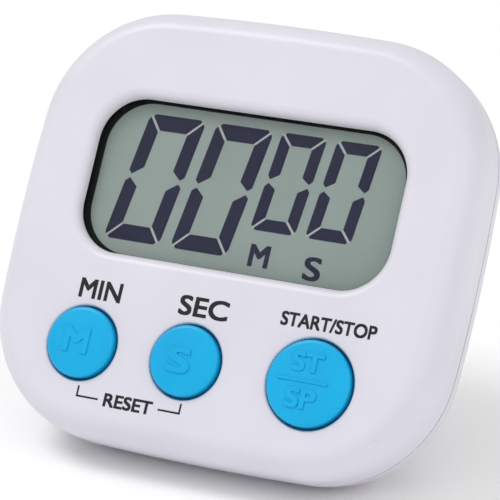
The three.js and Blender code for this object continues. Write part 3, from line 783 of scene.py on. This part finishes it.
def batteryDoor():
    piece = common(doorForm(0), backForm(case["seam"]))
    outer = case["depth"]
    for i in range(grip["ridges"]):
        z = grip["first"] + grip["pitch"] * i
        y = outer + grip["proud"] - grip["radius"]
        end = [(radius, grip["half"] + past) for radius, past in grip["ends"]]
        profile = [(radius, -x) for radius, x in end]
        profile += [(grip["radius"], -grip["half"]), (grip["radius"], grip["half"])] + end[::-1]
        join(piece, turnedAlongX(y, z, profile, 24))
    cut(piece, prism(grip["arrow"], outer - grip["arrowDeep"], outer + through))
    return finish(piece, "batteryDoor", "battery_door", caseAbs, ["battery_door"], sharp=30)


batteryDoor()
print("battery door made")


# Stand

def standLoop():
    reach = stand["thickness"] / 2
    overrun = stand["thickness"]
    place = swung(openAngle)

    def outline(grow):
        width = stand["width"] + 2 * grow
        bottom = stand["end"] - overrun - grow
        return roundedRect(width, bottom, hinge["z"] + grow, stand["corner"] + grow, 8)

    def inside(grow):
        width = stand["width"] - 2 * stand["rail"] + 2 * grow
        bottom = stand["end"] + stand["rail"] - grow
        return roundedRect(width, bottom, hinge["z"] + grow, stand["corner"] + grow, 8)

    edge = stand["edge"]
    front, back = hinge["y"] - reach, hinge["y"] + reach
    loop = cut(
        soft(outline, front, back, edge, edge, place),
        soft(inside, front, back, -edge, -edge, place),
    )
    half = stand["width"] / 2
    soften = stand["barrelEdge"]
    barrel = [(stand["barrel"] - soften, -half), (stand["barrel"], -half + soften)]
    barrel += [(stand["barrel"], half - soften), (stand["barrel"] - soften, half)]
    join(loop, turnedAlongX(hinge["y"], hinge["z"], barrel, 64, place))
    short = half - stand["heelShort"]
    heel = common(
        box(-short, short, hinge["y"], hinge["y"] + stand["heel"], hinge["z"], hinge["z"] + through),
        rodAlongX(hinge["y"], hinge["z"], stand["heelReach"], -short, short, 64),
    )
    join(loop, heel)
    outside = half + stand["boreBeyond"]
    cut(loop, rodAlongX(hinge["y"], hinge["z"], stand["bore"], -outside, outside), belowTable())
    return finish(loop, "standLoop", "stand", caseAbs, ["stand"], sharp=32)


standLoop()
print("stand made")


# Buttons: a slightly crowned cap with raised letters

cap = {"edge": 0.5, "crown": 0.12, "flange": 0.6, "gap": 0.35}


def buttonCap(name):
    x, z, hole = buttonPlace(name)
    low, high = uprightBox(name + "_button")
    radius = hole - cap["gap"]
    flat = radius - cap["edge"]
    profile = [(axisRadius, low.y)]
    for i in range(1, 9):
        share = i / 9
        profile.append((flat * share, low.y + cap["crown"] * share**2))
    for i in range(9):
        turn = i / 8 * quarter
        reach = cap["edge"] - cap["crown"]
        across = flat + cap["edge"] * math.sin(turn)
        profile.append((across, low.y + cap["crown"] + reach * (1 - math.cos(turn))))
    flangeFront = high.y - cap["flange"]
    profile += [(radius, flangeFront), (hole + holes["flange"], flangeFront)]
    profile += [(hole + holes["flange"], high.y), (axisRadius, high.y)]
    piece = turned(x, z, profile, 96)
    return finish(piece, name + "Cap", name + "_button", capAbs, [name + "_button"])


dome = {"skin": 0.35, "shoulder": 0.5, "foot": 0.9, "crown": 0.55, "edge": 0.15, "taper": 0.1}


def returnDome(name):
    # A hollow silicone spring that flattens against the board as its cap goes in
    x, z, hole = buttonPlace(name)
    low, high = uprightBox(name + "_dome")
    top, bottom, skirt = low.y, high.y, (high.x - low.x) / 2
    crown, skin, edge = hole * dome["crown"], dome["skin"], dome["edge"]
    profile = [(axisRadius, top), (crown - edge, top)]
    profile += [(crown - edge * 0.3, top + edge * 0.3), (crown, top + edge)]
    profile += [(skirt - dome["shoulder"], bottom - skin), (skirt - edge, bottom - skin)]
    profile += [(skirt, bottom - skin + edge), (skirt, bottom), (skirt - dome["foot"], bottom)]
    profile += [(crown - dome["taper"], top + skin), (axisRadius, top + skin)]
    piece = turned(x, z, profile, 64)
    finish(piece, name + "Dome", "case", silicone, [name + "_dome"])
    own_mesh(piece)


def lettering(name, text, centre, size, y, proud, body, material, bold=0.0):
    # Letters of a given width and height that stand proud of the plane y. Bold ones are the
    # same letters joined with copies shifted each way.
    curve = bpy.data.curves.new(name, "FONT")
    curve.body = text
    curve.resolution_u = 6
    curve.extrude = 0.5
    holder = bpy.data.objects.new(name, curve)
    bpy.context.scene.collection.objects.link(holder)
    graph = bpy.context.evaluated_depsgraph_get()
    mesh = bpy.data.meshes.new_from_object(holder.evaluated_get(graph))
    bpy.data.objects.remove(holder)
    shape = bmesh.new()
    shape.from_mesh(mesh)
    bmesh.ops.remove_doubles(shape, verts=shape.verts, dist=1e-5)
    shape.verts.index_update()
    corners = [vertex.co.copy() for vertex in shape.verts]
    faces = [tuple(vertex.index for vertex in face.verts) for face in shape.faces]
    shape.free()
    xs, ys = [corner.x for corner in corners], [corner.y for corner in corners]
    wide = size[0] / (max(xs) - min(xs) + 2 * bold)
    high = size[1] / (max(ys) - min(ys) + 2 * bold)
    middleX, middleY = (max(xs) + min(xs)) / 2, (max(ys) + min(ys)) / 2

    def copyAt(right, up):
        points = []
        for corner in corners:
            x = centre[0] + (corner.x - middleX + right) * wide
            z = centre[1] + (corner.y - middleY + up) * high
            points.append((x, y - proud / 2 - corner.z * proud, z))
        return meshPiece(name, points, faces)

    piece = copyAt(0, 0)
    if bold:
        join(piece, *[copyAt(a, b) for a in (-bold, bold) for b in (-bold, bold)])
    return finish(piece, name, body, material)


def bar(name, edges, y, proud, body, material):
    x0, x1, z0, z1 = edges
    return finish(box(x0, x1, y - proud, y, z0, z1), name, body, material)


for name in buttonNames:
    buttonCap(name)
    returnDome(name)
capFront = {name: uprightBox(name + "_button")[0].y for name in buttonNames}
relief = {"root": 0.09, "height": 0.22, "bold": 0.03, "rule": (11.6, 18.3, -17.2, -16.85)}
capLetters = [
    ("minuteLetter", "M", (-17.15, -17.05), (3.6, 3.3), "minute"),
    ("secondLetter", "S", (-2.3, -17.25), (3.3, 3.4), "second"),
    ("startLetters", "ST", (15.15, -14.65), (4.3, 2.5), "start"),
    ("stopLetters", "SP", (15.15, -19.3), (4.1, 2.6), "start"),
]
for name, text, centre, size, owner in capLetters:
    root = capFront[owner] + relief["root"]
    body = owner + "_button"
    lettering(name, text, centre, size, root, relief["height"], body, capAbs, relief["bold"])
ruleRoot = capFront["start"] + relief["root"]
bar("capRule", relief["rule"], ruleRoot, relief["height"], "start_button", capAbs)
print("buttons made")


# Display: film-covered glass, dark segments and pale gaps between them

plate = {"corner": 0.5, "edge": 0.08}
film = {
    "front": uprightBox("lcd_rear_glass")[0].y,
    "sunk": 0.01,  # how far what lies on the film reaches into it
    "shadeProud": 0.015,
    "gapProud": 0.01,
    "segmentProud": 0.02,
    "shadeSide": 0.6,  # painted shade: black border seen inside the window, at the sides
    "shadeEnd": 0.24,  # and at the top and bottom
}
digits = {
    "large": {"width": 8.15, "height": 17.45, "upright": 1.95, "level": 2.2, "slant": 0.155},
    "small": {"width": 6.35, "height": 13.35, "upright": 1.6, "level": 1.65, "slant": 0.113},
    "split": 0.3,  # width of the pale gaps
    # Places of the segments' corners, as shares of the stroke's width
    "levelEdge": (0.32, 0.02),
    "levelCorner": (0.17, 0.17),
    "sideEdge": 0.32,
    "sideCorner": 0.12,
    "sideInner": 0.62,
    "gapCorner": 0.14,
    # The side segments' blunt points, which face each other at half height
    "pointAcross": 0.28,
    "pointShort": 0.26,
    "outerShort": 0.75,
    "top": 14.88,
    "lefts": [(-18.62, "large"), (-8.87, "large"), (1.68, "small"), (9.45, "small")],
}


def displayPlate(name, node, material):
    low, high = uprightBox(node)

    def outline(grow):
        width = high.x - low.x + 2 * grow
        return roundedRect(width, low.z - grow, high.z + grow, plate["corner"] + grow, 6)

    piece = soft(outline, low.y, high.y, plate["edge"], plate["edge"])
    return finish(piece, name, "case", material, [node])


# A black border on the film inside the window: painted shade where the window's walls shadow the
# recess
def paintedShadeBorder():
    low, high = uprightBox("lcd_rear_glass")
    middle = window["centre"]
    half = window["height"] / 2 - film["shadeEnd"]
    width = window["width"] - 2 * film["shadeSide"]
    inner = roundedRect(width, middle - half, middle + half, window["corner"], 16)
    outer = roundedRect(high.x - low.x, low.z, high.z, plate["corner"], 6)
    sheet = prism(outer, film["front"] - film["shadeProud"], film["front"] + film["sunk"])
    piece = cut(sheet, prism(inner, film["front"] - through, film["front"] + through))
    return finish(piece, "paintedShadeBorder", "case", recessShadeInk)


def flatShapes(name, shapes, proud, material):
    # Several flat outlines on the film, as one thin piece
    points, faces = [], []
    front, back = film["front"] - proud, film["front"] + film["sunk"]
    for outline in shapes:
        start, count = len(points), len(outline)
        points += ringAt(outline, front) + ringAt(outline, back)
        faces.append(tuple(start + i for i in range(count)))
        faces.append(tuple(start + count + i for i in reversed(range(count))))
        for i in range(count):
            j = (i + 1) % count
            faces.append((start + i, start + count + i, start + count + j, start + j))
    return finish(meshPiece(name, points, faces), name, "case", material)


def digitShapes(left, kind):
    # One figure 0: six segments with pointed ends where the middle one would be
    size = digits[kind]
    w, h, u, v = size["width"], size["height"], size["upright"], size["level"]
    bottom, middle = digits["top"] - h, h / 2
    along = math.hypot(u, v)
    away = digits["split"] / 2
    over, up = away * along / v, away * along / u  # half the gap, along x and along z
    edgeX, edgeZ = digits["levelEdge"]
    cornerX, cornerZ = digits["levelCorner"]
    sideEdge, sideCorner = digits["sideEdge"], digits["sideCorner"]
    near = digits["gapCorner"]
    segments, gaps = [], []

    def slanted(points, flip):
        if flip:
            points = [(x, h - z) for x, z in reversed(points)]
        return [(left + x + z * size["slant"], bottom + z) for x, z in points]

    for flip in (False, True):
        level = [(over + edgeX * u, edgeZ * v), (w - over - edgeX * u, edgeZ * v)]
        level += [(w - over - cornerX * u, cornerZ * v), (w - u - over, v)]
        level += [(u + over, v), (over + cornerX * u, cornerZ * v)]
        side = [(0, sideEdge * v + up), (sideCorner * u, sideCorner * v + up), (u, v + up)]
        side += [(u, middle - digits["sideInner"] * v)]
        side += [(digits["pointAcross"] * u, middle - digits["pointShort"])]
        side += [(0, middle - digits["outerShort"])]
        other = [(w - x, z) for x, z in reversed(side)]
        segments += [slanted(shape, flip) for shape in (level, side, other)]
        gap = [(near * u - over, near * v), (near * u + over, near * v)]
        gap += [(u + over, v), (u - over, v)]
        gaps.append(slanted(gap, flip))
        gaps.append(slanted([(w - x, z) for x, z in reversed(gap)], flip))
    return segments, gaps


displayPlate("displayGlass", "lcd_front_glass", lcdGlass)
displayPlate("displayFilm", "lcd_rear_glass", displayFilm)
darkShapes, paleShapes = [], []
for left, kind in digits["lefts"]:
    segments, gaps = digitShapes(left, kind)
    darkShapes += segments
    paleShapes += gaps
paintedShadeBorder()
flatShapes("digitGaps", paleShapes, film["gapProud"], segmentPale)
flatShapes("digits", darkShapes, film["segmentProud"], segmentDark)
signs = [
    ("minuteSign", "M", (3.85, -1.75), (2.85, 2.95), 0.03),
    ("secondSign", "S", (11.45, -2.3), (2.45, 3.15), 0.018),
]
for name, text, centre, size, bold in signs:
    proud = film["segmentProud"]
    lettering(name, text, centre, size, film["front"], proud, "case", segmentDark, bold)
print("display made")


# Printed labels

printed = {"root": 0.005, "height": 0.03, "line": 0.24}
labels = [
    ("minutesLabel", "MIN", (-15.8, -10.0), (6.1, 2.6), 0.022),
    ("secondsLabel", "SEC", (-0.9, -10.0), (7.0, 2.65), 0.022),
    ("startStopLabel", "START/STOP", (16.4, -9.45), (13.1, 1.85), 0.026),
    ("resetLabel", "RESET", (-8.3, -23.95), (6.95, 1.8), 0.026),
]
for name, text, centre, size, bold in labels:
    height = printed["height"]
    lettering(name, text, centre, size, printed["root"], height, "case", printInk, bold)
# Each bracket runs from beside RESET to its corner, and then up towards its button
line = printed["line"]
rules = [
    ("leftBracketDrop", (-15.8, -15.8 + line, -24.2, -22.75)),
    ("leftBracketRun", (-15.8, -12.6, -24.2, -24.2 + line)),
    ("rightBracketRun", (-4.0, -0.85, -24.05, -24.05 + line)),
    ("rightBracketDrop", (-0.85 - line, -0.85, -24.05, -22.65)),
]
for name, edges in rules:
    bar(name, edges, printed["root"], printed["height"], "case", printInk)
print("labels made")


# Magnet, cell and screws

def magnetDisc():
    x, z = 0, (magnetLow.z + magnetHigh.z) / 2
    radius = (magnetHigh.x - magnetLow.x) / 2
    outline = lambda grow: circle(x, z, radius + grow, 80)
    piece = soft(outline, magnetLow.y, magnetHigh.y, magnet["edge"], magnet["edge"])
    return finish(piece, "magnetDisc", "case", ferrite, ["magnet"])


cell = {
    "hem": 0.8,  # the sleeve is folded over the ends as far in as this share of the radius
    "shoulder": [(0.35, 0), (0.1, 0.12), (0, 0.4)],  # its rounding, in from the side and the end
    "disc": 0.78,  # radius of the end discs, as a share of the cell's
    "discProud": 0.04,
    "discSunk": 0.1,
    "nub": 1.9,
    "nubLength": 1,
    "nubEdge": 0.25,
    "rise": 0.05,  # from the disc's rim to the nub's foot
}


def cellBody():
    y, z = bay["y"], bay["z"]
    radius = (cellHigh.z - cellLow.z) / 2
    left, right = cellLow.x, cellHigh.x - cell["nubLength"]
    rounding = cell["shoulder"]
    sleeve = [(radius * cell["hem"], left)] + [(radius - a, left + b) for a, b in rounding]
    sleeve += [(radius - a, right - b) for a, b in reversed(rounding)]
    sleeve += [(radius * cell["hem"], right)]
    finish(turnedAlongX(y, z, sleeve, 64), "cellSleeve", "case", cellSleeve, ["battery"])
    disc, sunk, outside = radius * cell["disc"], cell["discSunk"], left - cell["discProud"]
    end = [(axisRadius, outside), (disc, outside), (disc, left + sunk)]
    finish(turnedAlongX(y, z, end, 64), "cellBase", "case", steel)
    nub, edge, tipEnd = cell["nub"], cell["nubEdge"], cellHigh.x
    tip = [(disc, right - sunk), (disc, right + cell["rise"]), (nub, right + 2 * cell["rise"])]
    tip += [(nub, tipEnd - edge), (nub - edge, tipEnd), (axisRadius, tipEnd)]
    finish(turnedAlongX(y, z, tip, 64), "cellTip", "case", steel)


def caseScrew(number):
    low, high = uprightBox(f"case_screw_{number}")
    x, z = screwPlaces[number - 1]
    head, shank, seat, back = (high.x - low.x) / 2, screws["shank"], screws["seat"], high.y
    core, pitch, top = shank * screws["core"], screws["pitch"], seat + screws["headEdge"]
    profile = [(radius, low.y + y) for radius, y in screws["tip"]]
    y = low.y + screws["tipLength"]
    while y < seat - screws["neck"]:  # thread: rings rather than a helix, at the same pitch
        profile += [(core, y), (shank, y + pitch * 0.45), (core, y + pitch * 0.9)]
        y += pitch
    profile += [(shank * 0.8, seat), (head, seat), (head, top)]
    for i in range(1, 7):
        turn = i / 6 * quarter
        crownY = top + (back - top) * math.sin(turn)
        profile.append((head * math.cos(turn) + axisRadius, crownY))
    piece = turned(x, z, profile, 40)
    arm, slot = head * screws["arm"], head * screws["slot"]
    floorY = seat + screws["slotFloor"]
    cut(piece, box(x - arm, x + arm, floorY, back + through, z - slot, z + slot))
    cut(piece, box(x - slot, x + slot, floorY, back + through, z - arm, z + arm))
    return finish(piece, f"caseScrew{number}", "case", steel, [f"case_screw_{number}"])


magnetDisc()
cellBody()
for i in range(1, 5):
    caseScrew(i)
print("fittings made")


# Camera, lights and floor

view = {
    "azimuth": 24.9,
    "elevation": 20.67,
    "distance": 364.4,
    "lens": 204.9,
    "sensor": 36,
    "aim": (3.53, 0, -1.57),
}
lights = [
    {"name": "keyLight", "at": (-0.55, -0.25, 1.0), "size": 0.5, "power": 4.6, "colour": "#FFFFFF"},
    {"name": "fillLight", "at": (0.8, -0.4, 0.5), "size": 1.2, "power": 2.5, "colour": "#FFFAF5"},
]
lightAim = Vector((0, 0, 0.03))
skyStrength = 0.74
floorHalf = 3


def camera():
    azimuth, elevation = math.radians(view["azimuth"]), math.radians(view["elevation"])
    away = Vector((
        math.sin(azimuth) * math.cos(elevation),
        -math.cos(azimuth) * math.cos(elevation),
        math.sin(elevation),
    ))
    lens = bpy.data.cameras.new("camera")
    lens.lens = view["lens"]
    lens.sensor_width = view["sensor"]
    lens.clip_start = 0.01
    viewer = bpy.data.objects.new("camera", lens)
    viewer.location = toWorld @ Vector(view["aim"]) + away * view["distance"] * mm
    viewer.rotation_euler = (-away).to_track_quat("-Z", "Y").to_euler()
    bpy.context.scene.collection.objects.link(viewer)
    bpy.context.scene.camera = viewer


def areaLight(light):
    lamp = bpy.data.lights.new(light["name"], "AREA")
    lamp.shape = "DISK"
    lamp.size = light["size"]
    lamp.energy = light["power"]
    lamp.color = hexColour(light["colour"])[:3]
    holder = bpy.data.objects.new(light["name"], lamp)
    holder.location = light["at"]
    toAim = lightAim - Vector(light["at"])
    holder.rotation_euler = toAim.to_track_quat("-Z", "Y").to_euler()
    bpy.context.scene.collection.objects.link(holder)


camera()
for light in lights:
    areaLight(light)
world = bpy.data.worlds.new("studio")
world.use_nodes = True
sky = world.node_tree.nodes["Background"].inputs
sky["Color"].default_value = (1, 1, 1, 1)
sky["Strength"].default_value = skyStrength
bpy.context.scene.world = world
bpy.context.scene.view_settings.view_transform = "Standard"
floorMesh = bpy.data.meshes.new("floor")
ends = (-floorHalf, floorHalf)
corners = [(x, y, 0) for x in ends for y in ends]
floorMesh.from_pydata(corners, [], [(0, 2, 3, 1)])
floor = bpy.data.objects.new("floor", floorMesh)
bpy.context.scene.collection.objects.link(floor)
# Matt background paper: white with a faint tooth
paper = surface("studio_paper", {
    "dark": "#FAFAFA", "light": "#FCFCFC", "cloudMm": 60, "grainMm": 0.5,
    "grainDeepMm": 0.01, "roughness": (0.8, 0.9),
})
floorMesh.materials.append(paper)
print("studio made")
